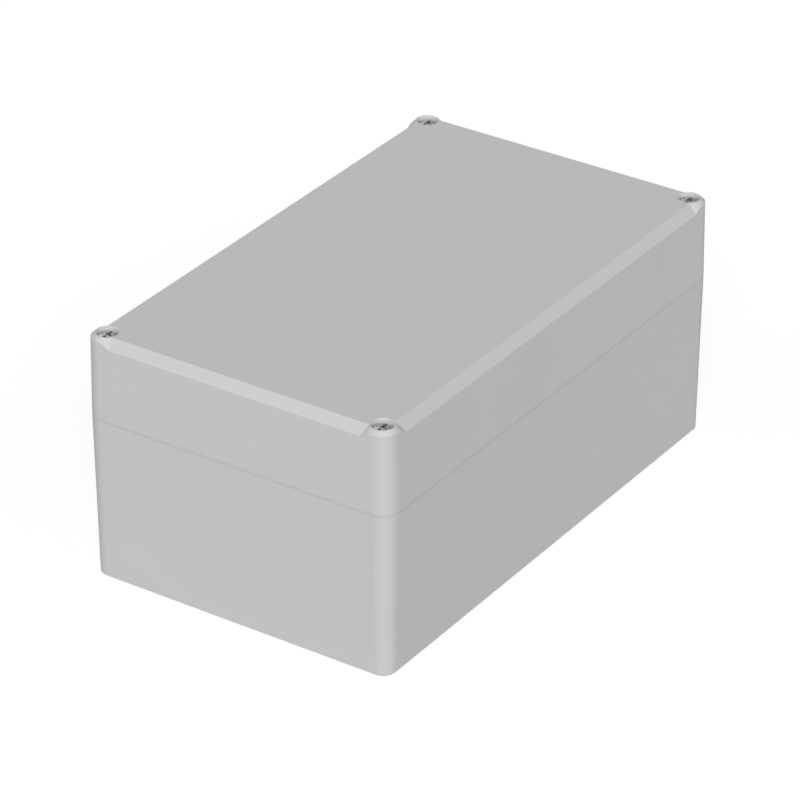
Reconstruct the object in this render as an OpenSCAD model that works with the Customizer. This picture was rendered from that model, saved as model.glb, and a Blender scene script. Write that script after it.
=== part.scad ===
// Plastic project box: a deep base and a lid with a tongue-and-groove seal,
// held by four captive screws that run down the corners into brass inserts.
// Millimetres. Origin at the centre of the underside, +X along the length, +Z up.

/* [Box] */
// Outside length, at the joint between base and lid
length = 200; // [170:5:260]
// Outside width, at the joint
width = 120; // [100:5:180]
// Height of the base, from the table to the joint
base_h = 61; // [50:1:90]
// Height of the lid, from the joint to its flat top
lid_h = 30; // [24:1:45]
// Radius of the upright corners, at the joint
corner_r = 6; // [5.5:0.25:8]
// Draft of all upright walls, in degrees
draft = 0.8; // [0.4:0.1:1.2]
// Wall thickness at the joint
wall = 3.5; // [3.2:0.1:4.5]
// Thickness of the base's floor
floor_t = 3.5; // [2.5:0.25:5]
// Thickness of the lid's top
top_t = 3.5; // [2.5:0.25:5]
// Radius of the upright corners inside
cavity_r = 3; // [3:0.25:5]
// Chamfer in the root of the floor and of the lid's top
root_chamfer = 1; // [0.5:0.1:1.5]

/* [Edges] */
// Bevel along the lid's top edges, measured across
bevel_w = 3.2; // [2:0.1:4]
// The same bevel, measured down the side
bevel_h = 3.1; // [2:0.1:4]
// Cone round the top of each corner post, measured across
post_cone_w = 1.4; // [0.8:0.1:1.5]
// The same cone, measured down to the round corner
post_cone_h = 1.4; // [1:0.1:1.8]
// Small chamfer of base and lid at the joint
joint_chamfer = 0.25; // [0.1:0.05:0.4]
// Chamfer round the base's foot
foot_chamfer = 0.5; // [0.2:0.1:1]

/* [Seal] */
// Thickness of the lid's outer lip, outside the groove
lip_w = 1.1; // [0.9:0.05:1.3]
// Thickness of the base's tongue
tongue_w = 1.1; // [0.9:0.05:1.2]
// Height of the tongue above the joint
tongue_h = 3; // [2:0.25:4]
// Play between the tongue and each side of the groove
seal_gap = 0.2; // [0.1:0.05:0.25]
// Thickness of the gasket, pressed between tongue and groove
gasket_t = 1.4; // [1:0.1:2]

/* [Lid screws] */
// Distance from each outside face to the screw's axis
screw_inset = 6; // [6:0.25:7.5]
// Outside diameter of the thread, modelled plain
thread_d = 3.9; // [3.5:0.1:4.2]
// Rise of one turn
thread_pitch = 0.7; // [0.5:0.05:1]
// Turns that free the screw from its insert
turns = 8; // [5:1:9]
// Chamfer at the screw's tip
tip_chamfer = 0.5; // [0.3:0.1:0.8]
// Diameter of the waisted shank
waist_d = 3.2; // [2.6:0.1:3.4]
// Diameter of the head
head_d = 6.6; // [6:0.1:6.8]
// Height of the head
head_h = 2.6; // [2.2:0.1:3]
// Rounding of the head's edge
head_round = 0.4; // [0.2:0.1:0.6]
// Depth of the head's top below the lid's top
head_drop = 0.9; // [0.5:0.1:1.5]
// Play round the head in its recess
head_gap = 0.3; // [0.2:0.05:0.35]
// Chamfer round the mouth of that recess
recess_rim = 0.3; // [0.2:0.05:0.4]
// Width of the slot and of the cross in the head
slot_w = 1.2; // [0.8:0.1:1.3]
// Depth of the slot and of the cross
slot_depth = 1.2; // [0.8:0.1:1.6]
// Length of the cross's short arm
cross_len = 4.6; // [3.5:0.1:5]
// Thickness of the lid's shoulder under the head
shoulder_t = 3.5; // [2.5:0.25:5]
// Diameter of the hole through that shoulder
shoulder_hole_d = 4.4; // [4.3:0.1:4.8]

/* [Screw retainers] */
// Outside diameter of the retaining washer
retainer_d = 5.8; // [5.4:0.1:6.2]
// Thickness of the retaining washer
retainer_t = 1.2; // [0.8:0.1:2]
// Running play between the washer and the waisted shank
retainer_play = 0.05; // [0.03:0.01:0.1]
// Play between the washer and its pocket in the lid
retainer_gap = 0.3; // [0.2:0.05:0.4]
// Room left above the washer when the screw is fully undone
retainer_slack = 0.4; // [0.2:0.1:1]

/* [Inserts] */
// Outside diameter of the brass insert
insert_d = 5.6; // [5.2:0.1:6.2]
// Length of the insert
insert_len = 8; // [6.5:0.5:10]
// Depth of its top below the joint
insert_drop = 0.2; // [0.1:0.1:0.5]
// Play between the screw's thread and the insert's bore, modelled plain
thread_play = 0.1; // [0.05:0.05:0.15]
// Depth of the groove round the insert's middle
insert_groove = 0.4; // [0.2:0.1:0.6]
// Chamfer at the insert's foot and round the mouth of its thread
insert_chamfer = 0.3; // [0.1:0.1:0.4]
// Depth of the free hole below the insert
screw_room = 5; // [2:0.5:8]

/* [Wall mounting] */
// Distance from each end to the mounting holes
mount_inset_x = 8; // [8:0.5:10]
// Distance from each long side to the mounting holes
mount_inset_y = 17; // [16:0.5:22]
// Diameter of the mounting hole in the floor
mount_hole_d = 4.5; // [3.5:0.1:5.5]
// Diameter of the channel above it, which takes the screw's head
channel_d = 8.5; // [7.5:0.1:9]
// Floor left under the channel
channel_floor = 4; // [3:0.25:6]
// Wall left round the moulding pockets in the underside
core_wall = 2.7; // [2.2:0.1:3]
// Plastic left above those pockets
core_roof = 3; // [2:0.5:6]
// Radius of their upright corners
core_r = 2; // [1:0.25:2.5]

/* [Board bosses] */
// Distance from each end to the bosses
boss_inset_x = 30; // [26:1:50]
// Distance from each long side to the bosses
boss_inset_y = 20; // [12:1:30]
// Diameter of a boss
boss_d = 7.2; // [6:0.2:9]
// Height of a boss above the floor
boss_h = 6; // [4:0.5:12]
// Diameter of its pilot hole
pilot_d = 2.6; // [2:0.1:3.2]
// Depth of the pilot hole
pilot_depth = 7; // [4:0.5:7]
// Thickness of the ribs that stiffen a boss
rib_t = 1.2; // [1:0.1:2]
// Reach of those ribs beyond the boss
rib_reach = 3; // [1.5:0.5:5]

/* [Hidden] */
$fn = 96;
over = 1;                                   // how far a cut runs past a face
height = base_h + lid_h;
in_x = length / 2 - wall;                   // inside faces, at the joint
in_y = width / 2 - wall;
screw_x = length / 2 - screw_inset;
screw_y = width / 2 - screw_inset;
mount_x = length / 2 - mount_inset_x;
mount_y = width / 2 - mount_inset_y;
boss_x = length / 2 - boss_inset_x;
boss_y = width / 2 - boss_inset_y;

block_r = channel_d / 2 + wall;             // round end of the corner blocks
block_x = mount_x - block_r;                // where the corner blocks begin
block_y = mount_y - block_r;

groove_w = tongue_w + 2 * seal_gap;
groove_out = lip_w - wall;                  // seal lines, counted inward from
groove_in = groove_out + groove_w;          // the inside faces
groove_top = base_h + tongue_h + gasket_t;

head_r = head_d / 2;
recess_r = head_r + head_gap;
head_top = height - head_drop;
seat_z = head_top - head_h;                 // underside of the head
pocket_top = seat_z - shoulder_t;
screw_rise = turns * thread_pitch;
insert_top = base_h - insert_drop;
screw_end = insert_top - screw_rise;
thread_top = pocket_top - screw_rise - retainer_slack - retainer_t;
insert_foot = insert_top - insert_len;
screw_hole_foot = insert_foot - screw_room;
core_top = screw_hole_foot - core_roof;

ABS_GREY = [0.78, 0.78, 0.77];
STEEL = [0.72, 0.72, 0.7];
BRASS = [0.8, 0.65, 0.32];
NYLON = [0.93, 0.92, 0.88];
RUBBER = [0.16, 0.16, 0.17];

CORNERS = [["front_left", -1, -1], ["front_right", 1, -1],
    ["back_left", -1, 1], ["back_right", 1, 1]];

// How far a drafted wall leans in over a height, to the hundredth
function taper(h) = round(100 * h * tan(draft)) / 100;

// A section's side and its mirror image, as one closed outline
function both_ways(side) = concat(side, [for (i = [len(side) - 1:-1:0]) [-side[i][0], side[i][1]]]);

// A section's side closed along the axis, ready to be revolved
function to_axis(side) = concat([[0, side[0][1]]], side, [[0, side[len(side) - 1][1]]]);

// Sections of the outside and of the hollows, at a distance from the middle
base_side = function (d) [
    [d - taper(base_h - joint_chamfer) - foot_chamfer, 0],
    [d - taper(base_h - joint_chamfer - foot_chamfer), foot_chamfer],
    [d, base_h - joint_chamfer],
    [d - joint_chamfer, base_h]];

lid_side = function (d) [
    [d - joint_chamfer, base_h],
    [d, base_h + joint_chamfer],
    [d - taper(lid_h - joint_chamfer), height]];

base_hollow = function (d) [
    [d - taper(base_h - floor_t) - root_chamfer, floor_t],
    [d - taper(base_h - floor_t - root_chamfer), floor_t + root_chamfer],
    [d + taper(over), base_h + over]];

lid_hollow = function (d) [
    [d + taper(over), base_h - over],
    [d - taper(lid_h - top_t - root_chamfer), height - top_t - root_chamfer],
    [d - taper(lid_h - top_t) - root_chamfer, height - top_t]];

// Points of an arc round a centre, from one angle to another
function arc(centre, r, from, to, steps = 8) =
    [for (i = [0:steps]) let (a = from + (to - from) * i / steps) centre + r * [cos(a), sin(a)]];

// The seal's line round the inside and past the corner blocks, set in by a
// distance: first one quarter of it, then all four
function seal_quarter(inset) = concat(
    arc([in_x - cavity_r, block_y - cavity_r], cavity_r - inset, 0, 90),
    arc([mount_x, mount_y], block_r + inset, 270, 180),
    arc([block_x - cavity_r, in_y - cavity_r], cavity_r - inset, 0, 90));

function flipped(points, sx, sy) = [for (p = points) [sx * p[0], sy * p[1]]];
function backwards(points) = [for (i = [len(points) - 1:-1:0]) points[i]];

function seal_line(inset) = let (q = seal_quarter(inset)) concat(
    q, backwards(flipped(q, -1, 1)), flipped(q, -1, -1), backwards(flipped(q, 1, -1)));

// A ring that follows the seal between two insets and two heights
module seal_ring(out, in, z0, z1) {
    difference() {
        translate([0, 0, z0]) linear_extrude(z1 - z0) polygon(seal_line(out));
        translate([0, 0, z0 - over]) linear_extrude(z1 - z0 + 2 * over) polygon(seal_line(in));
    }
}

// Children at each place of a rectangle, mirrored so that they face inward alike
module in_each_corner(x, y) {
    for (c = CORNERS) mirror([c[1] < 0 ? 1 : 0, 0, 0]) mirror([0, c[2] < 0 ? 1 : 0, 0])
        translate([x, y, 0]) children();
}

// A moulded body: straight drafted sides with a section of their own, and
// round corners with another
module moulded(half_x, half_y, r, side, corner) {
    rotate([90, 0, 0]) linear_extrude(2 * (half_y - r), center = true) polygon(both_ways(side(half_x)));
    rotate([90, 0, 90]) linear_extrude(2 * (half_x - r), center = true) polygon(both_ways(side(half_y)));
    in_each_corner(half_x - r, half_y - r) rotate_extrude() polygon(to_axis(corner(r)));
}

// The hollow of base or lid: a rounded cross that leaves a block in each corner
module hollow(side) {
    z0 = side(0)[0][1];
    z1 = side(0)[2][1];
    reach = block_r + 2 * root_chamfer + taper(height);
    moulded(in_x, block_y, cavity_r, side, side);
    moulded(block_x, in_y, cavity_r, side, side);
    in_each_corner(mount_x, mount_y) difference() {
        translate([-reach, -reach, z0]) cube([reach, reach, z1 - z0]);
        rotate_extrude() polygon(to_axis([for (p = side(block_r)) [2 * block_r - p[0], p[1]]]));
    }
}

// Boss for a circuit board's screw, stiffened by two crossed ribs
module boss() {
    translate([0, 0, floor_t / 2]) cylinder(d = boss_d, h = floor_t / 2 + boss_h);
    for (turn = [0, 90]) rotate([90, 0, turn]) linear_extrude(rib_t, center = true)
        polygon(both_ways([[boss_d / 2 + rib_reach, floor_t / 2], [boss_d / 2 + rib_reach, floor_t],
            [boss_d / 2, floor_t + boss_h * 2 / 3]]));
}

// Pocket that keeps the plastic round the screw column of even thickness
module core_pocket() {
    x1 = screw_x + corner_r - taper(base_h) - core_wall;
    y1 = screw_y + corner_r - taper(base_h) - core_wall;
    x0 = block_x + core_wall;
    y0 = mount_y + channel_d / 2 + core_wall;
    translate([0, 0, -over]) linear_extrude(core_top + over) polygon(concat(
        arc([x1 - core_r, y1 - core_r], core_r, 0, 90), arc([x0 + core_r, y1 - core_r], core_r, 90, 180),
        arc([x0 + core_r, y0 + core_r], core_r, 180, 270), arc([x1 - core_r, y0 + core_r], core_r, 270, 360)));
}

// Everything cut into the base in one corner
module base_corner_cuts() {
    translate([screw_x, screw_y, insert_foot]) cylinder(d = insert_d, h = insert_len + insert_drop + over);
    translate([screw_x, screw_y, screw_hole_foot]) cylinder(d = shoulder_hole_d, h = screw_room + over);
    translate([mount_x, mount_y, channel_floor]) cylinder(d = channel_d, h = base_h - channel_floor + over);
    translate([mount_x, mount_y, -over]) cylinder(d = mount_hole_d, h = channel_floor + 2 * over);
    core_pocket();
}

module base() {
    color(ABS_GREY) difference() {
        union() {
            difference() {
                moulded(length / 2, width / 2, corner_r, base_side, base_side);
                hollow(base_hollow);
            }
            seal_ring(groove_out + seal_gap, groove_in - seal_gap, base_h - over, base_h + tongue_h);
            in_each_corner(boss_x, boss_y) boss();
        }
        in_each_corner(0, 0) base_corner_cuts();
        in_each_corner(boss_x, boss_y) translate([0, 0, floor_t + boss_h - pilot_depth])
            cylinder(d = pilot_d, h = pilot_depth + over);
    }
}

// What the bevels take off the lid: a wedge along each side, but not the
// corner posts, whose cones run down to meet the walls and the bevels
module bevels() {
    lean = bevel_w / bevel_h;
    cone_lean = post_cone_w / post_cone_h;
    top = taper(lid_h - joint_chamfer);
    reach = bevel_w + over;
    wedge = function (d) [[d - top - bevel_w - over * lean, height + over],
        [d - top + over, height + over], [d - top + over, height - bevel_h - over / lean]];
    difference() {
        for (s = [-1, 1]) {
            rotate([90, 0, 0]) linear_extrude(width + 2 * over, center = true) polygon(
                [for (p = wedge(length / 2)) [s * p[0], p[1]]]);
            rotate([90, 0, 90]) linear_extrude(length + 2 * over, center = true) polygon(
                [for (p = wedge(width / 2)) [s * p[0], p[1]]]);
        }
        in_each_corner(screw_x, screw_y) translate([0, 0, height - bevel_h - reach])
            cylinder(r1 = corner_r - top - post_cone_w + (bevel_h + reach) * cone_lean,
                r2 = corner_r - top - post_cone_w - 2 * over * cone_lean, h = bevel_h + reach + 2 * over);
    }
}

// Everything cut into the lid in one corner
module lid_corner_cuts() {
    translate([screw_x, screw_y, 0]) {
        translate([0, 0, seat_z]) cylinder(r = recess_r, h = height - seat_z + over);
        translate([0, 0, height - recess_rim]) cylinder(r1 = recess_r, r2 = recess_r + recess_rim + over,
            h = recess_rim + over);
        translate([0, 0, pocket_top - over]) cylinder(d = shoulder_hole_d, h = shoulder_t + 2 * over);
        translate([0, 0, base_h - over]) cylinder(r = retainer_d / 2 + retainer_gap,
            h = pocket_top - base_h + over);
    }
    translate([mount_x, mount_y, base_h - over]) cylinder(d = channel_d, h = lid_h - top_t + over);
}

module lid() {
    color(ABS_GREY) difference() {
        moulded(length / 2, width / 2, corner_r, lid_side, lid_side);
        bevels();
        hollow(lid_hollow);
        seal_ring(groove_out, groove_in, base_h - over, groove_top);
        in_each_corner(0, 0) lid_corner_cuts();
    }
}

module gasket() {
    color(RUBBER) seal_ring(groove_out, groove_in, base_h + tongue_h, groove_top);
}

// Insert with two gripping bands and a groove between them
module insert() {
    r = insert_d / 2;
    band = insert_len / 3;
    bore_r = thread_d / 2 + thread_play;
    color(BRASS) rotate_extrude() polygon([
        [bore_r, insert_foot], [r - insert_chamfer, insert_foot], [r, insert_foot + insert_chamfer],
        [r, insert_foot + band], [r - insert_groove, insert_foot + band],
        [r - insert_groove, insert_top - band], [r, insert_top - band], [r, insert_top],
        [bore_r + insert_chamfer, insert_top], [bore_r, insert_top - insert_chamfer]]);
}

// Waisted screw with a slot and cross in its head
module lid_screw() {
    color(STEEL) difference() {
        rotate_extrude() polygon([
            [0, screw_end], [thread_d / 2 - tip_chamfer, screw_end], [thread_d / 2, screw_end + tip_chamfer],
            [thread_d / 2, thread_top], [waist_d / 2, thread_top], [waist_d / 2, seat_z],
            [head_r, seat_z], [head_r, head_top - head_round], [head_r - head_round, head_top], [0, head_top]]);
        translate([-head_r - over, -slot_w / 2, head_top - slot_depth])
            cube([2 * (head_r + over), slot_w, slot_depth + over]);
        translate([-slot_w / 2, -cross_len / 2, head_top - slot_depth])
            cube([slot_w, cross_len, slot_depth + over]);
    }
}

// Nylon washer that keeps the screw in the lid
module retainer() {
    color(NYLON) translate([0, 0, thread_top]) difference() {
        cylinder(d = retainer_d, h = retainer_t);
        translate([0, 0, -over]) cylinder(d = waist_d + 2 * retainer_play, h = retainer_t + 2 * over);
    }
}

module at_screw(corner) {
    translate([corner[1] * screw_x, corner[2] * screw_y, 0]) children();
}

base();
lid();
gasket();
for (corner = CORNERS) {
    at_screw(corner) insert();
    at_screw(corner) lid_screw();
    at_screw(corner) retainer();
}
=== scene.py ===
# %% [markdown]
# # A plastic project box in light grey
# The box is two thick mouldings, a deep base and a bevelled lid, pulled together
# by four screws in the corners. Its solids come ready made from the construction
# model. This lesson gives them their surfaces, and remakes the small turned parts
# with the threads and knurls that the solids leave out.

# %% Open the frame
import math

import bmesh
import bpy
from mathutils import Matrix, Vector


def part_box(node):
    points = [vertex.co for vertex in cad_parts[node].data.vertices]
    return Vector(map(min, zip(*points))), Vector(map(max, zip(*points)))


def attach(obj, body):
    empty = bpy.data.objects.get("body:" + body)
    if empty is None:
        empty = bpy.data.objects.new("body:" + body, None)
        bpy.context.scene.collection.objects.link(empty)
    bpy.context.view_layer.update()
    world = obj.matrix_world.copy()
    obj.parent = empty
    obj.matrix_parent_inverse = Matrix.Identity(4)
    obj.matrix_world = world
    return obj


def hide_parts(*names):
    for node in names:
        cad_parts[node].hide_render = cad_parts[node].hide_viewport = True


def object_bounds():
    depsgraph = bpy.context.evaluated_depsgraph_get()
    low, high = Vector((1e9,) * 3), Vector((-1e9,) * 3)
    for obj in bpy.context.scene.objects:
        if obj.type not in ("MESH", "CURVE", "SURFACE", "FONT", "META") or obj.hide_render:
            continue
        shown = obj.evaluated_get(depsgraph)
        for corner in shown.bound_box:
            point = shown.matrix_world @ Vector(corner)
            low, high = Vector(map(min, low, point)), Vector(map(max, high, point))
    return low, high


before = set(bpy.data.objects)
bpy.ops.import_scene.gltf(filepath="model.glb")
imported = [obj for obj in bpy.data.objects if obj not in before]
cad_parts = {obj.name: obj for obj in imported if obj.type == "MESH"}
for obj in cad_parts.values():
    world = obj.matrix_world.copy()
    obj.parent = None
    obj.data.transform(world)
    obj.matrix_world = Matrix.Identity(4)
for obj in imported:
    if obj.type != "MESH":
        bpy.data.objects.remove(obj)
solid_low, solid_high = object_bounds()
print("solids reach from", tuple(solid_low), "to", tuple(solid_high))

# %% [markdown]
# ## The camera
# A product picture of a box is taken from far away through a long lens, so that the
# upright edges stay nearly parallel. We aim at a point inside the box and step back
# from it along the chosen compass direction and height. A 200 mm lens on a 36 mm wide
# sensor, one and a half metres away, fills the square frame.

# %% Place the camera
CAMERA_AZIMUTH = math.radians(-56.11)
CAMERA_ELEVATION = math.radians(29.68)
CAMERA_DISTANCE = 1.509
CAMERA_TARGET = Vector((-0.00385, 0.0, 0.03994))
LENS_LENGTH = 200
SENSOR_WIDTH = 36


def away(azimuth, elevation):
    """The direction from the object towards a viewer at this azimuth and elevation."""
    return Vector((math.sin(azimuth) * math.cos(elevation),
                   -math.cos(azimuth) * math.cos(elevation),
                   math.sin(elevation)))


def make_camera():
    data = bpy.data.cameras.new("camera")
    data.lens = LENS_LENGTH
    data.sensor_width = SENSOR_WIDTH
    data.clip_start = 0.05
    data.clip_end = 20
    camera = bpy.data.objects.new("camera", data)
    direction = away(CAMERA_AZIMUTH, CAMERA_ELEVATION)
    camera.location = CAMERA_TARGET + direction * CAMERA_DISTANCE
    camera.rotation_mode = "QUATERNION"
    camera.rotation_quaternion = (-direction).to_track_quat("-Z", "Y")
    bpy.context.scene.collection.objects.link(camera)
    bpy.context.scene.camera = camera
    return camera


camera = make_camera()
print("camera stands at", tuple(round(v, 3) for v in camera.location))

# %% [markdown]
# ## Light
# Pale plastic shows its form by small steps of grey, so the light is plain: an even
# sky for the ground tone, one broad lamp beside the camera that makes the faces turned
# towards it lighter, and two weaker ones to its left and right that pick out the bevels.
# A last one, low behind the box, is for whoever walks round it, and is kept out of
# reflections. Suns keep their strength over distance, so a flat face stays flat in tone,
# and a wide angle makes their shadows soft. Angles are in degrees.

# %% Light the object
# Name, azimuth, elevation, strength, width, and whether metal mirrors it.
LAMPS = (("key_lamp", -56, 32.5, 2.14, 30, True),
         ("left_lamp", -120, 40, 0.62, 40, True),
         ("right_lamp", 0, 30, 0.61, 40, True),
         ("back_lamp", 125, 5, 1.3, 30, False))


def make_sun(name, azimuth, elevation, strength, softness, mirrored):
    data = bpy.data.lights.new(name, "SUN")
    data.energy = strength
    data.angle = math.radians(softness)
    sun = bpy.data.objects.new(name, data)
    sun.visible_glossy = mirrored
    sun.rotation_mode = "QUATERNION"
    direction = away(math.radians(azimuth), math.radians(elevation))
    sun.rotation_quaternion = direction.to_track_quat("Z", "Y")
    bpy.context.scene.collection.objects.link(sun)
    return sun


suns = [make_sun(*lamp) for lamp in LAMPS]
print("suns made:", [sun.name for sun in suns])

# %% [markdown]
# The sky has three jobs, and Light Path tells them apart. It lights the box at a modest
# level. It is the white paper that the camera sees behind the box. And it is what bare
# metal reflects: brighter on the left than on the right, as between a near and a far
# window, so that a domed screw head has a light side and a dark side. An azimuth in
# degrees says where the near window would be.

# %% Make the sky
SKY_LEVEL = 0.2
SHEEN_AZIMUTH = -146.11
SHEEN_LEFT = 1.0
SHEEN_RIGHT = 0.2
SHEEN_SPREAD = 0.25


def larger_of(nodes, links, first, second):
    larger = nodes.new("ShaderNodeMath")
    larger.operation = "MAXIMUM"
    links.new(first, larger.inputs[0])
    links.new(second, larger.inputs[1])
    return larger.outputs[0]


def background(nodes, strength):
    shader = nodes.new("ShaderNodeBackground")
    shader.inputs["Strength"].default_value = strength
    shader.inputs["Color"].default_value = (1, 1, 1, 1)
    return shader


def sheen_strength(nodes, links):
    """Rises over the sky from the dim side to the side where the near window would be."""
    direction = nodes.new("ShaderNodeTexCoord")
    leftness = nodes.new("ShaderNodeVectorMath")
    leftness.operation = "DOT_PRODUCT"
    leftness.inputs[1].default_value = away(math.radians(SHEEN_AZIMUTH), 0)
    level = nodes.new("ShaderNodeMapRange")
    level.interpolation_type = "SMOOTHSTEP"
    for name, value in (("From Min", -SHEEN_SPREAD), ("From Max", SHEEN_SPREAD),
                        ("To Min", SHEEN_RIGHT), ("To Max", SHEEN_LEFT)):
        level.inputs[name].default_value = value
    links.new(direction.outputs["Generated"], leftness.inputs[0])
    links.new(leftness.outputs["Value"], level.inputs["Value"])
    return level.outputs["Result"]


def make_sky():
    world = bpy.data.worlds.new("studio")
    bpy.context.scene.world = world
    world.use_nodes = True
    nodes, links = world.node_tree.nodes, world.node_tree.links
    nodes.clear()
    path = nodes.new("ShaderNodeLightPath").outputs
    lighting, paper = background(nodes, SKY_LEVEL), background(nodes, 1.0)
    sheen = background(nodes, 1.0)
    links.new(sheen_strength(nodes, links), sheen.inputs["Strength"])
    mirrored, seen = nodes.new("ShaderNodeMixShader"), nodes.new("ShaderNodeMixShader")
    links.new(path["Is Glossy Ray"], mirrored.inputs[0])
    links.new(lighting.outputs[0], mirrored.inputs[1])
    links.new(sheen.outputs[0], mirrored.inputs[2])
    links.new(larger_of(nodes, links, path["Is Camera Ray"], path["Is Transmission Ray"]),
              seen.inputs[0])
    links.new(mirrored.outputs[0], seen.inputs[1])
    links.new(paper.outputs[0], seen.inputs[2])
    out = nodes.new("ShaderNodeOutputWorld")
    links.new(seen.outputs[0], out.inputs["Surface"])
    return world


sky = make_sky()
bpy.context.scene.view_settings.view_transform = "Standard"
print("sky", sky.name, "has", len(sky.node_tree.nodes), "nodes")

# %% [markdown]
# ## The floor
# White paper under the box takes its shadow. A diffuse sheet alone would come out
# grey, so seen rays also get a little glow, which lifts the paper to white and leaves
# the shadow as a soft darker patch. Its underside is clear, so the box can be seen from
# below as well.

# %% Lay the floor
MM = 0.001
FLOOR_HALF = 3.0
FLOOR_GAP = 0.05 * MM
PAPER_GREY = 0.45
PAPER_GLOW = 1.65
GLOW_SHARE = 0.5


def rays_that_see(nodes, links):
    """A value of 1 for camera, glossy and transmission rays, and 0 for the rest."""
    path = nodes.new("ShaderNodeLightPath").outputs
    seen = larger_of(nodes, links, path["Is Camera Ray"], path["Is Transmission Ray"])
    return larger_of(nodes, links, seen, path["Is Glossy Ray"])


def make_floor_material():
    material = bpy.data.materials.new("white_paper")
    material.use_nodes = True
    nodes, links = material.node_tree.nodes, material.node_tree.links
    nodes.clear()
    paper = nodes.new("ShaderNodeBsdfDiffuse")
    paper.inputs["Color"].default_value = (PAPER_GREY, PAPER_GREY, PAPER_GREY, 1)
    glow = nodes.new("ShaderNodeEmission")
    glow.inputs["Strength"].default_value = PAPER_GLOW
    lifted = nodes.new("ShaderNodeMixShader")
    share = nodes.new("ShaderNodeMath")
    share.operation = "MULTIPLY"
    share.inputs[1].default_value = GLOW_SHARE
    clear = nodes.new("ShaderNodeBsdfTransparent")
    side = nodes.new("ShaderNodeNewGeometry")
    sheet = nodes.new("ShaderNodeMixShader")
    out = nodes.new("ShaderNodeOutputMaterial")
    links.new(rays_that_see(nodes, links), share.inputs[0])
    links.new(share.outputs[0], lifted.inputs[0])
    links.new(paper.outputs[0], lifted.inputs[1])
    links.new(glow.outputs[0], lifted.inputs[2])
    links.new(side.outputs["Backfacing"], sheet.inputs[0])
    links.new(lifted.outputs[0], sheet.inputs[1])
    links.new(clear.outputs[0], sheet.inputs[2])
    links.new(sheet.outputs[0], out.inputs["Surface"])
    return material


def make_floor():
    mesh = bpy.data.meshes.new("floor")
    corners = [(x * FLOOR_HALF, y * FLOOR_HALF, -FLOOR_GAP)
               for x, y in ((-1, -1), (1, -1), (1, 1), (-1, 1))]
    mesh.from_pydata(corners, [], [(0, 1, 2, 3)])
    floor = bpy.data.objects.new("floor", mesh)
    floor.data.materials.append(make_floor_material())
    bpy.context.scene.collection.objects.link(floor)
    return floor


floor = make_floor()
print(floor.name, "is", 2 * FLOOR_HALF, "m square, just under the box")

# %% [markdown]
# ## Effects that several finishes share
# Spark-eroded moulds leave a fine, even grain in plastic and rubber. It is a height
# that a Bump node turns into tiny slopes, and a mask that makes some spots a little
# rougher than others. It lives in a node group, so each finish can set its own size.

# %% Group: moulded grain
COARSE_RATIO = 0.25


def new_group(name, inputs, outputs):
    group = bpy.data.node_groups.new(name, "ShaderNodeTree")
    for label, default in inputs:
        kind = "NodeSocketColor" if isinstance(default, tuple) else "NodeSocketFloat"
        socket = group.interface.new_socket(name=label, in_out="INPUT", socket_type=kind)
        socket.default_value = default
    for label, kind in outputs:
        group.interface.new_socket(name=label, in_out="OUTPUT", socket_type=kind)
    start = group.nodes.new("NodeGroupInput")
    end = group.nodes.new("NodeGroupOutput")
    return group, start, end


def math_node(group, operation, *values):
    node = group.nodes.new("ShaderNodeMath")
    node.operation = operation
    for socket, value in zip(node.inputs, values):
        if isinstance(value, (int, float)):
            socket.default_value = value
        else:
            group.links.new(value, socket)
    return node.outputs[0]


def noise_node(group, where, scale, detail, roughness=0.5):
    node = group.nodes.new("ShaderNodeTexNoise")
    node.inputs["Detail"].default_value = detail
    node.inputs["Roughness"].default_value = roughness
    group.links.new(where, node.inputs["Vector"])
    if isinstance(scale, (int, float)):
        node.inputs["Scale"].default_value = scale
    else:
        group.links.new(scale, node.inputs["Scale"])
    return node.outputs["Fac"]


def make_grain_group():
    group, start, end = new_group(
        "moulded_grain",
        [("Grains per Metre", 5000.0), ("Coarse Share", 0.3)],
        [("Height", "NodeSocketFloat"), ("Mask", "NodeSocketFloat")])
    where = group.nodes.new("ShaderNodeTexCoord").outputs["Object"]
    fine = noise_node(group, where, start.outputs["Grains per Metre"], 3, 0.6)
    fewer = math_node(group, "MULTIPLY", start.outputs["Grains per Metre"], COARSE_RATIO)
    coarse = noise_node(group, where, fewer, 2)
    share = math_node(group, "MULTIPLY", coarse, start.outputs["Coarse Share"])
    height = math_node(group, "ADD", fine, share)
    group.links.new(height, end.inputs["Height"])
    group.links.new(coarse, end.inputs["Mask"])
    return group


moulded_grain = make_grain_group()
print("group", moulded_grain.name, "has outputs",
      [s.name for s in moulded_grain.interface.items_tree if s.in_out == "OUTPUT"])

# %% [markdown]
# A large moulding is never one exact tone. The melt cools unevenly, so broad soft
# clouds a few centimetres wide are a trace lighter or darker. This group mixes two
# close colours by such clouds, so the difference stays just under what the eye notices.

# %% Group: cooled tone
def make_tone_group():
    group, start, end = new_group(
        "cooled_tone",
        [("Light", (0.6, 0.6, 0.6, 1.0)), ("Dark", (0.57, 0.57, 0.57, 1.0)),
         ("Clouds per Metre", 18.0)],
        [("Color", "NodeSocketColor"), ("Clouds", "NodeSocketFloat")])
    where = group.nodes.new("ShaderNodeTexCoord").outputs["Object"]
    clouds = noise_node(group, where, start.outputs["Clouds per Metre"], 3, 0.55)
    mix = group.nodes.new("ShaderNodeMix")
    mix.data_type = "RGBA"
    group.links.new(clouds, mix.inputs["Factor"])
    group.links.new(start.outputs["Dark"], mix.inputs["A"])
    group.links.new(start.outputs["Light"], mix.inputs["B"])
    group.links.new(mix.outputs["Result"], end.inputs["Color"])
    group.links.new(clouds, end.inputs["Clouds"])
    return group


cooled_tone = make_tone_group()
print("group", cooled_tone.name, "has", len(cooled_tone.nodes), "nodes")

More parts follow.
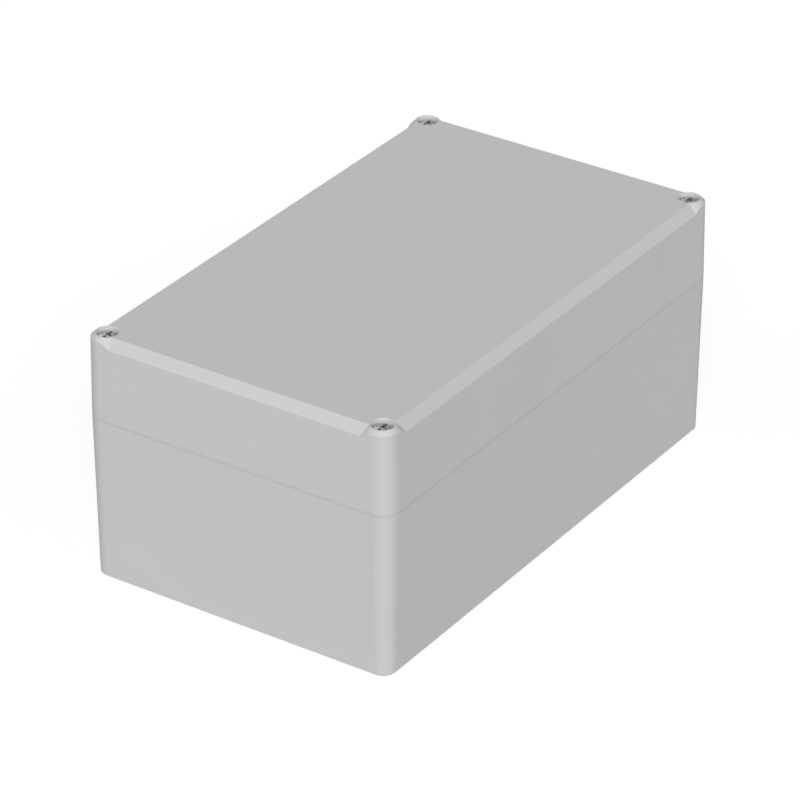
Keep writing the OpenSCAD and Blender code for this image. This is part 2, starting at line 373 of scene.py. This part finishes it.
# %% [markdown]
# Turned metal carries rings from the lathe tool. They are waves of the distance
# from the part's own axis, and of the height along it, broken up a little by noise so
# that they don't look printed. Each turned part has its origin on its axis, so object
# coordinates give that distance.

# %% Group: turning marks
WOBBLES_PER_METRE = 900.0
WOBBLE = 0.12 * MM
STAINS_PER_METRE = 500.0


def make_turning_group():
    group, start, end = new_group(
        "turning_marks",
        [("Rings per Metre", 9000.0), ("Stain", 0.5)],
        [("Height", "NodeSocketFloat"), ("Mask", "NodeSocketFloat")])
    where = group.nodes.new("ShaderNodeTexCoord").outputs["Object"]
    split = group.nodes.new("ShaderNodeSeparateXYZ")
    group.links.new(where, split.inputs[0])
    x2 = math_node(group, "MULTIPLY", split.outputs["X"], split.outputs["X"])
    y2 = math_node(group, "MULTIPLY", split.outputs["Y"], split.outputs["Y"])
    radius = math_node(group, "SQRT", math_node(group, "ADD", x2, y2))
    along = math_node(group, "ADD", radius, split.outputs["Z"])
    jitter = noise_node(group, where, WOBBLES_PER_METRE, 2)
    along = math_node(group, "ADD", along, math_node(group, "MULTIPLY", jitter, WOBBLE))
    phase = math_node(group, "MULTIPLY", along, start.outputs["Rings per Metre"])
    wave = math_node(group, "SINE", math_node(group, "MULTIPLY", phase, 2 * math.pi))
    group.links.new(wave, end.inputs["Height"])
    blotch = noise_node(group, where, STAINS_PER_METRE, 4, 0.6)
    mask = math_node(group, "MULTIPLY", blotch, start.outputs["Stain"])
    group.links.new(mask, end.inputs["Mask"])
    return group


turning_marks = make_turning_group()
print("group", turning_marks.name, "has", len(turning_marks.nodes), "nodes")

# %% [markdown]
# The fine groove where lid and base meet is drawn as a thin darker line of painted
# shade. This group finds that line: a band at one height that shows only on the outer
# skin. The skin lies one corner radius away from a smaller rectangle through the corner
# centres, so the distance from that rectangle tells skin from inside.

# %% Group: painted seam shade
CORNER_RADIUS = 6 * MM
SKIN_FADES_FROM = 0.6 * MM
SKIN_FADES_TO = 0.2 * MM


def smooth_step(group, value, nothing, everything):
    """0 where the value reaches nothing, 1 where it reaches everything."""
    node = group.nodes.new("ShaderNodeMapRange")
    node.interpolation_type = "SMOOTHSTEP"
    node.inputs["From Min"].default_value = nothing
    node.inputs["From Max"].default_value = everything
    group.links.new(value, node.inputs["Value"])
    return node.outputs["Result"]


# Paints shade along the joint groove: a darker band on the outer skin at the seam height.
def make_seam_group():
    group, start, end = new_group(
        "painted_seam_shade",
        [("Seam Height", 0.0), ("Half Width", 0.001)],
        [("Mask", "NodeSocketFloat")])
    where = group.nodes.new("ShaderNodeTexCoord").outputs["Object"]
    split = group.nodes.new("ShaderNodeSeparateXYZ")
    group.links.new(where, split.inputs[0])
    beyond = []
    for axis, half in (("X", solid_high.x), ("Y", solid_high.y)):
        distance = math_node(group, "ABSOLUTE", split.outputs[axis])
        distance = math_node(group, "SUBTRACT", distance, half - CORNER_RADIUS)
        distance = math_node(group, "MAXIMUM", distance, 0)
        beyond.append(math_node(group, "MULTIPLY", distance, distance))
    radius = math_node(group, "SQRT", math_node(group, "ADD", *beyond))
    skin = smooth_step(group, radius, CORNER_RADIUS - SKIN_FADES_FROM,
                       CORNER_RADIUS - SKIN_FADES_TO)
    offset = math_node(group, "SUBTRACT", split.outputs["Z"], start.outputs["Seam Height"])
    offset = math_node(group, "ABSOLUTE", offset)
    share = math_node(group, "DIVIDE", offset, start.outputs["Half Width"])
    band = smooth_step(group, share, 1.0, 0.0)
    group.links.new(math_node(group, "MULTIPLY", skin, band), end.inputs["Mask"])
    return group


painted_seam_shade = make_seam_group()
print("group", painted_seam_shade.name, "has", len(painted_seam_shade.nodes), "nodes")

# %% [markdown]
# ## Finishes
# Every finish starts the same way: a Principled shader, one of the groups for height
# and colour, and a Bump node. What is the same all over the surface is typed into the
# shader's own sockets.

# %% Helper for finishes
class Finish:
    """A material with one Principled shader, and short ways to feed its sockets."""

    def __init__(self, name):
        self.material = bpy.data.materials.new(name)
        self.material.use_nodes = True
        self.tree = self.material.node_tree
        self.shader = self.tree.nodes["Principled BSDF"]

    def set(self, **sockets):
        for name, value in sockets.items():
            self.shader.inputs[name.replace("_", " ")].default_value = value

    def group(self, group, **values):
        node = self.tree.nodes.new("ShaderNodeGroup")
        node.node_tree = group
        for name, value in values.items():
            node.inputs[name.replace("_", " ")].default_value = value
        return node

    def link(self, source, target):
        self.tree.links.new(source, self.shader.inputs[target])

    def darken(self, color, mask, share):
        """Leaves only a share of the colour's brightness where the mask is white."""
        node = self.tree.nodes.new("ShaderNodeMix")
        node.data_type = "RGBA"
        node.blend_type = "MULTIPLY"
        node.inputs["B"].default_value = (share, share, share, 1)
        self.tree.links.new(mask, node.inputs["Factor"])
        self.tree.links.new(color, node.inputs["A"])
        return node.outputs["Result"]

    def bump(self, height, depth, strength):
        node = self.tree.nodes.new("ShaderNodeBump")
        node.inputs["Distance"].default_value = depth
        node.inputs["Strength"].default_value = strength
        self.tree.links.new(height, node.inputs["Height"])
        self.link(node.outputs["Normal"], "Normal")

    def ramp(self, factor, low, high, target):
        """Spreads a 0 to 1 mask between two values and feeds the shader's socket."""
        node = self.tree.nodes.new("ShaderNodeMapRange")
        node.inputs["To Min"].default_value = low
        node.inputs["To Max"].default_value = high
        self.tree.links.new(factor, node.inputs["Value"])
        self.link(node.outputs["Result"], target)


# %% [markdown]
# ### Grey plastic
# Styrene plastic in the pale grey of switch cabinets. It is matt from its
# fine grain, with a soft sheen where it turns away, and neutral in colour.

# %% Grey plastic
# Painted shade: the plastic's colour is darkened in a thin band along the joint groove.
SEAM_HEIGHT = 60.6 * MM
SEAM_HALF_WIDTH = 0.7 * MM
SEAM_SHADE_SHARE = 0.84


def make_grey_plastic():
    finish = Finish("matt_grey_plastic")
    finish.set(IOR=1.5)
    tone = finish.group(cooled_tone, Light=(0.575, 0.575, 0.575, 1),
                        Dark=(0.55, 0.55, 0.55, 1), Clouds_per_Metre=16.0)
    seam = finish.group(painted_seam_shade, Seam_Height=SEAM_HEIGHT, Half_Width=SEAM_HALF_WIDTH)
    grain = finish.group(moulded_grain, Grains_per_Metre=4200.0, Coarse_Share=0.4)
    # Painted shade of the joint groove darkens the tone along the seam.
    seam_shaded_tone = finish.darken(tone.outputs["Color"], seam.outputs["Mask"], SEAM_SHADE_SHARE)
    finish.link(seam_shaded_tone, "Base Color")
    finish.ramp(grain.outputs["Mask"], 0.70, 0.80, "Roughness")
    finish.bump(grain.outputs["Height"], 0.012 * MM, 0.6)
    return finish


grey_plastic = make_grey_plastic()
print(grey_plastic.material.name, "has", len(grey_plastic.tree.nodes), "nodes")

# %% [markdown]
# ### Metals, nylon and rubber
# The screws are zinc-plated steel: bright, slightly warm, ringed by the lathe. The
# inserts are raw brass. Both metals come from one function, as they differ only in
# their numbers. The washers are natural nylon, milky and a little waxy, and the gasket
# is black rubber with the same kind of grain as the box, only finer. A second function
# makes these two.

# %% Small finishes
TOOL_MARK_DEPTH = 0.002 * MM


def make_turned_metal(name, rings, light, dark, clouds, roughness):
    """A metal with rings from the lathe; roughness is the (smoothest, roughest) value."""
    finish = Finish(name)
    marks = finish.group(turning_marks, Rings_per_Metre=rings, Stain=1.0)
    tone = finish.group(cooled_tone, Light=light, Dark=dark, Clouds_per_Metre=clouds)
    finish.set(Metallic=1.0)
    finish.link(tone.outputs["Color"], "Base Color")
    finish.ramp(marks.outputs["Mask"], *roughness, "Roughness")
    finish.bump(marks.outputs["Height"], TOOL_MARK_DEPTH, 0.5)
    return finish


def make_soft_finish(name, grains, coarse, light, dark, clouds, roughness, depth, strength):
    """Nylon or rubber: fine grain and soft clouds, with the grain's depth in metres."""
    finish = Finish(name)
    grain = finish.group(moulded_grain, Grains_per_Metre=grains, Coarse_Share=coarse)
    tone = finish.group(cooled_tone, Light=light, Dark=dark, Clouds_per_Metre=clouds)
    finish.link(tone.outputs["Color"], "Base Color")
    finish.ramp(grain.outputs["Mask"], *roughness, "Roughness")
    finish.bump(grain.outputs["Height"], depth, strength)
    return finish


screw_steel = make_turned_metal(
    "zinc_plated_steel", rings=8000.0, clouds=900.0, roughness=(0.22, 0.38),
    light=(0.62, 0.61, 0.58, 1), dark=(0.46, 0.45, 0.43, 1))
brass = make_turned_metal(
    "turned_brass", rings=10000.0, clouds=700.0, roughness=(0.22, 0.4),
    light=(0.80, 0.61, 0.28, 1), dark=(0.66, 0.47, 0.2, 1))
nylon = make_soft_finish(
    "natural_nylon", grains=6000.0, coarse=0.2, clouds=400.0, roughness=(0.35, 0.5),
    light=(0.84, 0.83, 0.77, 1), dark=(0.78, 0.76, 0.69, 1), depth=0.006 * MM, strength=0.5)
nylon.set(IOR=1.53, Subsurface_Weight=0.15, Subsurface_Scale=0.8 * MM)
gasket_rubber = make_soft_finish(
    "black_rubber", grains=7000.0, coarse=0.3, clouds=120.0, roughness=(0.6, 0.78),
    light=(0.035, 0.035, 0.036, 1), dark=(0.02, 0.02, 0.021, 1), depth=0.01 * MM, strength=0.6)
gasket_rubber.set(IOR=1.48)
print("finishes:", [finish.material.name for finish in
                    (grey_plastic, screw_steel, brass, nylon, gasket_rubber)])

# %% [markdown]
# ## The moulded parts
# Base, lid and gasket keep their solids, which already have the drafted walls, the
# seal and the corner posts. They only need their finish.

# %% Finish the moulded parts
def dress(node, finish):
    """Gives a solid from the construction model its finish."""
    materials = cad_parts[node].data.materials
    materials.clear()
    materials.append(finish.material)
    print(node, "is", finish.material.name)


dress("base", grey_plastic)
dress("lid", grey_plastic)
dress("gasket", gasket_rubber)

# %% [markdown]
# ## Turned parts: how a skin of rings works
# Screws and inserts come off a lathe. Each is made as rings of points round the Z axis,
# joined to their neighbours by faces. This is plain mesh code rather than a Screw
# modifier, because a real thread has to run out into smooth metal at both ends.

# %% Rings of points
class Skin:
    """Points and faces of a surface round the Z axis, in millimetres."""

    def __init__(self, sides):
        self.sides = sides
        self.points = []
        self.faces = []

    def point(self, radius, turn, z):
        angle = 2 * math.pi * turn
        self.points.append((radius * math.cos(angle), radius * math.sin(angle), z))
        return len(self.points) - 1

    def ring(self, radius, z, twist=0.0):
        """A ring of one radius, or of a list of radii that repeats round it."""
        radii = radius if isinstance(radius, (list, tuple)) else [radius]
        return [self.point(radii[i % len(radii)], i / self.sides + twist, z)
                for i in range(self.sides)]

    def join(self, lower, upper):
        for i in range(self.sides):
            k = (i + 1) % self.sides
            self.faces.append((lower[i], lower[k], upper[k], upper[i]))

    def spin(self, start, profile):
        """Joins rings along a profile of (radius, z) to the ring it starts from."""
        for radius, z in profile:
            following = self.ring(radius, z)
            self.join(start, following)
            start = following
        return start

    def cap(self, ring):
        self.faces.append(tuple(ring))


# %% [markdown]
# A thread is drawn once in section, as a few points per turn, and every column of
# points round the shank stands a little higher than the last. After a full turn the
# last column meets the first one again, one pitch further on. A limit squeezes the
# section flat near both ends, where it closes into level rings.

# %% Helical thread
THREAD_PITCH = 0.7


def thread_section(level, crest):
    """One pitch as (share of the pitch, radius): a flat, a flank and the crest."""
    return [(0, level), (0.25, level), (0.5625, crest), (0.6875, crest)]


def add_thread(skin, start, z, turns, section, limit):
    """Winds a thread from the ring start upwards and returns the level ring above it.

    The section lists (share of the pitch, radius), and the limit takes a radius and a
    height and gives the radius allowed there.
    """
    sides, step = skin.sides, len(section)
    rows = step * turns + 1
    grid = []
    for column in range(sides):
        grid.append([])
        for row in range(rows):
            share, radius = section[row % step]
            height = z + THREAD_PITCH * (row // step + share + column / sides)
            grid[column].append(skin.point(limit(radius, height), column / sides, height))
    for column in range(sides - 1):
        for row in range(rows - 1):
            skin.faces.append((grid[column][row], grid[column + 1][row],
                               grid[column + 1][row + 1], grid[column][row + 1]))
        skin.faces.append((start[column], start[column + 1],
                           grid[column + 1][0], grid[column][0]))
    last, first = grid[-1], grid[0]
    for row in range(rows - 1 - step):
        skin.faces.append((last[row], first[row + step],
                           first[row + step + 1], last[row + 1]))
    skin.faces.append(tuple([start[-1], start[0]] + first[:step + 1] + [last[0]]))
    end = skin.ring(limit(0.0, z + THREAD_PITCH * (turns + 2)),
                    z + THREAD_PITCH * (turns + 1.4))
    for column in range(sides - 1):
        skin.faces.append((grid[column][-1], grid[column + 1][-1],
                           end[column + 1], end[column]))
    skin.faces.append(tuple([last[rows - 1 - step], first[-1], end[0], end[-1]]
                            + last[:rows - 1 - step:-1]))
    return end


# %% [markdown]
# The skin's points are in millimetres and become a mesh in metres. Blender turns all
# faces outward, and edges steeper than a set angle stay sharp while the rest is shaded
# smooth. Counting the open edges shows whether the surface is closed.

# %% Mesh from a skin
SHARP_ANGLE = math.radians(32)


def make_mesh(name, skin, finish):
    mesh = bpy.data.meshes.new(name)
    mesh.from_pydata([tuple(MM * c for c in point) for point in skin.points], [], skin.faces)
    shaper = bmesh.new()
    shaper.from_mesh(mesh)
    bmesh.ops.recalc_face_normals(shaper, faces=shaper.faces)
    open_edges = sum(1 for edge in shaper.edges if not edge.is_manifold)
    shaper.to_mesh(mesh)
    shaper.free()
    mesh.materials.append(finish.material)
    mesh.shade_smooth()
    mesh.set_sharp_from_angle(angle=SHARP_ANGLE)
    print(name, "has", len(mesh.polygons), "faces and", open_edges, "open edges")
    return mesh


# %% [markdown]
# ## The lid screws
# A captive screw: a thread from the tip up, a short collar, a long waist that the nylon
# washer slides on, and a round head with a domed top. The thread is cut 0.38 mm deep at
# 0.7 mm pitch. Its section has a narrow crest, a wider root and 60 degree flanks. All
# heights count from the tip, in millimetres.

# %% Screw shank and thread
SCREW_SIDES = 64
TIP_R = 1.35
TIP_CHAMFER = 0.1
THREAD_R = 1.95
THREAD_ROOT_R = 1.57
THREAD_START, THREAD_GROWS_AT, THREAD_DIES_AT = 0.12, 0.85, 19.9
THREAD_TURNS = 27
COLLAR_R = 1.9
COLLAR_HEIGHTS = (20.3, 20.6, 21.5, 21.6)
WAIST_R = 1.6
FILLET = 0.2
HEAD_HEIGHT = 2.6
HEAD_CHAMFER = 0.1
HEAD_DOME = 0.3
RIM_ROUND_R = 0.4
RIM_ROUND_HEIGHT = 0.394


def screw_limit(radius, height):
    """The ridge grows out of the root at the tip and dies away below the collar."""
    room = min(height - THREAD_GROWS_AT, THREAD_DIES_AT - height)
    return max(THREAD_ROOT_R, min(radius, THREAD_ROOT_R + room))


def make_head_profile(head_r, length):
    """From the seat up over the rounded rim to the middle of the dome."""
    seat, bend_z = length - HEAD_HEIGHT, length - HEAD_DOME - RIM_ROUND_HEIGHT
    profile = [(head_r - HEAD_CHAMFER, seat), (head_r, seat + HEAD_CHAMFER), (head_r, bend_z)]
    for degrees in (28, 41, 54, 67, 80):
        bend = math.radians(degrees)
        profile.append((head_r - RIM_ROUND_R + RIM_ROUND_R * math.cos(bend),
                        bend_z + RIM_ROUND_R * math.sin(bend)))
    crown_r = profile[-1][0]
    for share in (0.85, 0.6, 0.35, 0.1):
        profile.append((crown_r * share, length - HEAD_DOME * share * share))
    return profile


def make_screw_skin(head_width, length):
    skin = Skin(SCREW_SIDES)
    tip = skin.ring(TIP_R, 0)
    skin.cap(tip)
    root = skin.spin(tip, [(THREAD_ROOT_R, TIP_CHAMFER)])
    above = add_thread(skin, root, THREAD_START, THREAD_TURNS,
                       thread_section(THREAD_ROOT_R, THREAD_R), screw_limit)
    radii = (THREAD_ROOT_R, COLLAR_R, COLLAR_R, WAIST_R)
    seat = length - HEAD_HEIGHT
    neck = skin.spin(above, list(zip(radii, COLLAR_HEIGHTS))
                     + [(WAIST_R, seat - FILLET), (WAIST_R + FILLET, seat)])
    skin.cap(skin.spin(neck, make_head_profile(head_width / 2, length)))
    return skin


# %% [markdown]
# The drive is a slot right across the head with two shorter arms that make it a cross, so
# that a flat blade or a cross-point driver fits. The slot has straight walls. The arms
# slope down to the middle, as the driver's tip does. Boolean cuts make both in the solid
# head, and a fine bevel breaks the edges at their mouth.

# %% Cutters for the drive
SLOT_WIDTH = 1.0
SLOT_DEPTH = 1.5
SLOT_REACH = 4.0
CROSS_WIDTH = 0.88
CROSS_REACH = 2.3
CROSS_DEPTH = 1.0
CROSS_FLOOR_HALF = 0.5
CUTTER_RISE = 1.0


def prism(name, outline, half_width, along_x):
    """A bar with an outline of (distance, z), laid along X or along Y."""
    shaper = bmesh.new()
    sides = []
    for w in (-half_width, half_width):
        places = [(u, w, z) if along_x else (-w, u, z) for u, z in outline]
        sides.append([shaper.verts.new([MM * c for c in place]) for place in places])
    n = len(outline)
    for i in range(n):
        k = (i + 1) % n
        shaper.faces.new((sides[0][i], sides[0][k], sides[1][k], sides[1][i]))
    shaper.faces.new(sides[0][::-1])
    shaper.faces.new(sides[1])
    bmesh.ops.recalc_face_normals(shaper, faces=shaper.faces)
    mesh = bpy.data.meshes.new(name)
    shaper.to_mesh(mesh)
    shaper.free()
    return bpy.data.objects.new(name, mesh)


def drive_cutters(top):
    over, slot_floor, cross_floor = top + CUTTER_RISE, top - SLOT_DEPTH, top - CROSS_DEPTH
    slot = [(-SLOT_REACH, slot_floor), (SLOT_REACH, slot_floor),
            (SLOT_REACH, over), (-SLOT_REACH, over)]
    reach = CROSS_REACH * (CROSS_DEPTH + CUTTER_RISE) / CROSS_DEPTH
    arms = [(-CROSS_FLOOR_HALF, cross_floor), (CROSS_FLOOR_HALF, cross_floor),
            (reach, over), (-reach, over)]
    return [prism("slot", slot, SLOT_WIDTH / 2, True),
            prism("arms", arms, CROSS_WIDTH / 2, False)]


# %% [markdown]
# The cuts run on a copy that has the cutters as Boolean modifiers, and what comes out
# is kept as a new mesh. The helper objects go away again. Only outward edges near the
# top are broken, as a burr would be. The edges in the bottom of a slot stay crisp.

# %% Cut the drive
BROKEN_ANGLE = math.radians(25)
BROKEN_WIDTH = 0.04
MERGE_WITHIN = 0.002


def carve(mesh, cutters):
    """Cuts each cutter out of the mesh and returns the result as a new mesh."""
    collection = bpy.context.scene.collection
    blank = bpy.data.objects.new("blank", mesh)
    collection.objects.link(blank)
    for cutter in cutters:
        collection.objects.link(cutter)
        cut = blank.modifiers.new(cutter.name, "BOOLEAN")
        cut.operation = "DIFFERENCE"
        cut.solver = "EXACT"
        cut.object = cutter
    depsgraph = bpy.context.evaluated_depsgraph_get()
    result = bpy.data.meshes.new_from_object(blank.evaluated_get(depsgraph))
    for thing in [blank] + cutters:
        bpy.data.objects.remove(thing)
    return result


def break_edges(mesh, above):
    """Bevels the sharp outward edges that lie above a height in millimetres."""
    shaper = bmesh.new()
    shaper.from_mesh(mesh)
    sharp = [edge for edge in shaper.edges
             if edge.is_convex and edge.calc_face_angle() > BROKEN_ANGLE
             and min(corner.co.z for corner in edge.verts) > above * MM]
    bmesh.ops.bevel(shaper, geom=sharp, offset=BROKEN_WIDTH * MM, segments=2, profile=0.5,
                    affect="EDGES", clamp_overlap=False)
    bmesh.ops.remove_doubles(shaper, verts=shaper.verts, dist=MERGE_WITHIN * MM)
    open_edges = sum(1 for edge in shaper.edges if not edge.is_manifold)
    shaper.to_mesh(mesh)
    shaper.free()
    print("broke", len(sharp), "edges;", open_edges, "open edges")


def size_of(node):
    """Width and height of a solid, in millimetres."""
    low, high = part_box(node)
    return (high.x - low.x) / MM, (high.z - low.z) / MM


screw_width, screw_length = size_of("lid_screw_front_left")
screw_skin = make_screw_skin(screw_width, screw_length)
blank_mesh = make_mesh("turned_blank", screw_skin, screw_steel)
screw_mesh = carve(blank_mesh, drive_cutters(screw_length))
break_edges(screw_mesh, screw_length - HEAD_DOME - BROKEN_WIDTH / 2)
screw_mesh.set_sharp_from_angle(angle=SHARP_ANGLE)
print("a screw has", len(screw_mesh.polygons), "faces")

# %% [markdown]
# All four screws are the same part, so they share one mesh. Each stands at the place of
# its plain solid, follows that solid's body, and takes its place in the picture.

# %% Place the screws
CORNERS = ("front_left", "front_right", "back_left", "back_right")


def place(name, mesh, node, body, slot):
    """Stands a turned piece where its plain solid is and hands it the solid's job."""
    low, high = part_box(node)
    piece = bpy.data.objects.new(name, mesh)
    piece.location = ((low.x + high.x) / 2, (low.y + high.y) / 2, low.z)
    bpy.context.scene.collection.objects.link(piece)
    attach(piece, body)
    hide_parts(node)
    return piece


for corner in CORNERS:
    screw = place("turned_screw_" + corner, screw_mesh, "lid_screw_" + corner,
                  "lid_screw_" + corner, "screw_steel")
    print(screw.name, "at", tuple(round(v / MM, 1) for v in screw.location), "mm")

# %% [markdown]
# ## The brass inserts
# The base's plastic would soon wear out if the screws cut into it, so each corner
# column holds a brass insert. Two knurled bands grip the plastic, slanting opposite ways
# so that the insert can neither turn nor pull out, with a plain groove between them.
# Inside runs the thread.

# %% Insert
INSERT_SIDES = 96
KNURL_DEPTH = 0.18
KNURL_SLANT = 1.5 / INSERT_SIDES
GROOVE_DEPTH = 0.4
GROOVE_CHAMFER = 0.05
FOOT_CHAMFER = 0.3
CROWN_CHAMFER = 0.25
CROWN_HEIGHT = 0.15
BORE_R = 2.05
BORE_ROOT_R = 2.3
BORE_START, BORE_GROWS_AT, BORE_DIES_BELOW = 0.1, 0.9, 1.1
BORE_TURNS = 9
BORE_CHAMFER = 0.3


def knurl(radius):
    """Three points to a tooth: one at the bottom, two on its crest."""
    return [radius - KNURL_DEPTH, radius, radius]


def bore_limit(length):
    """The groove starts above the foot and ends below the crown."""
    def limit(radius, height):
        room = min(height - BORE_GROWS_AT, length - BORE_DIES_BELOW - height)
        return max(BORE_R, min(radius, BORE_R + room))
    return limit


def make_insert_skin(diameter, length):
    r, waist = diameter / 2, diameter / 2 - GROOVE_DEPTH
    low_band, high_band = length / 3, length - length / 3
    skin = Skin(INSERT_SIDES)
    foot = skin.ring(BORE_R, 0)
    ring = skin.spin(foot, [(r - FOOT_CHAMFER, 0)])
    for radii, z, twist in (
            (knurl(r), FOOT_CHAMFER, 0), (knurl(r), low_band, KNURL_SLANT),
            (waist, low_band + GROOVE_CHAMFER, KNURL_SLANT),
            (waist, high_band - GROOVE_CHAMFER, KNURL_SLANT),
            (knurl(r), high_band, KNURL_SLANT), (knurl(r), length - CROWN_HEIGHT, 0),
            (r - CROWN_CHAMFER, length, 0)):
        following = skin.ring(radii, z, twist)
        skin.join(ring, following)
        ring = following
    bore = add_thread(skin, foot, BORE_START, BORE_TURNS,
                      thread_section(BORE_R, BORE_ROOT_R), bore_limit(length))
    mouth = [(BORE_R, length - BORE_CHAMFER), (BORE_R + BORE_CHAMFER, length)]
    skin.join(skin.spin(bore, mouth), ring)
    return skin


insert_skin = make_insert_skin(*size_of("insert_front_left"))
insert_mesh = make_mesh("knurled_insert", insert_skin, brass)
for corner in CORNERS:
    place("knurled_insert_" + corner, insert_mesh, "insert_" + corner, "base", "brass")

# %% [markdown]
# ## The nylon washers
# Each washer is a plain ring, punched or moulded, with softly rounded edges. It slides
# on the screw's waist but can't pass the collar, which keeps the screw in the lid.

# %% Washers
WASHER_SIDES = 64
WASHER_EDGE = 0.2
WASHER_BORE_R = 1.65
EDGE_STEPS = 4


def make_washer_skin(diameter, thickness):
    skin = Skin(WASHER_SIDES)
    outer, inner = diameter / 2 - WASHER_EDGE, WASHER_BORE_R + WASHER_EDGE
    lower, upper = WASHER_EDGE, thickness - WASHER_EDGE
    profile = []
    for r, z, start in ((outer, lower, -90), (outer, upper, 0),
                        (inner, upper, 90), (inner, lower, 180)):
        for step in range(EDGE_STEPS + 1):
            bend = math.radians(start + 90 * step / EDGE_STEPS)
            profile.append((r + WASHER_EDGE * math.cos(bend),
                            z + WASHER_EDGE * math.sin(bend)))
    first = skin.ring(*profile[0])
    skin.join(skin.spin(first, profile[1:]), first)
    return skin


washer_skin = make_washer_skin(*size_of("retainer_front_left"))
washer_mesh = make_mesh("nylon_washer", washer_skin, nylon)
for corner in CORNERS:
    retainer = "retainer_" + corner
    place("nylon_washer_" + corner, washer_mesh, retainer, retainer, "nylon")
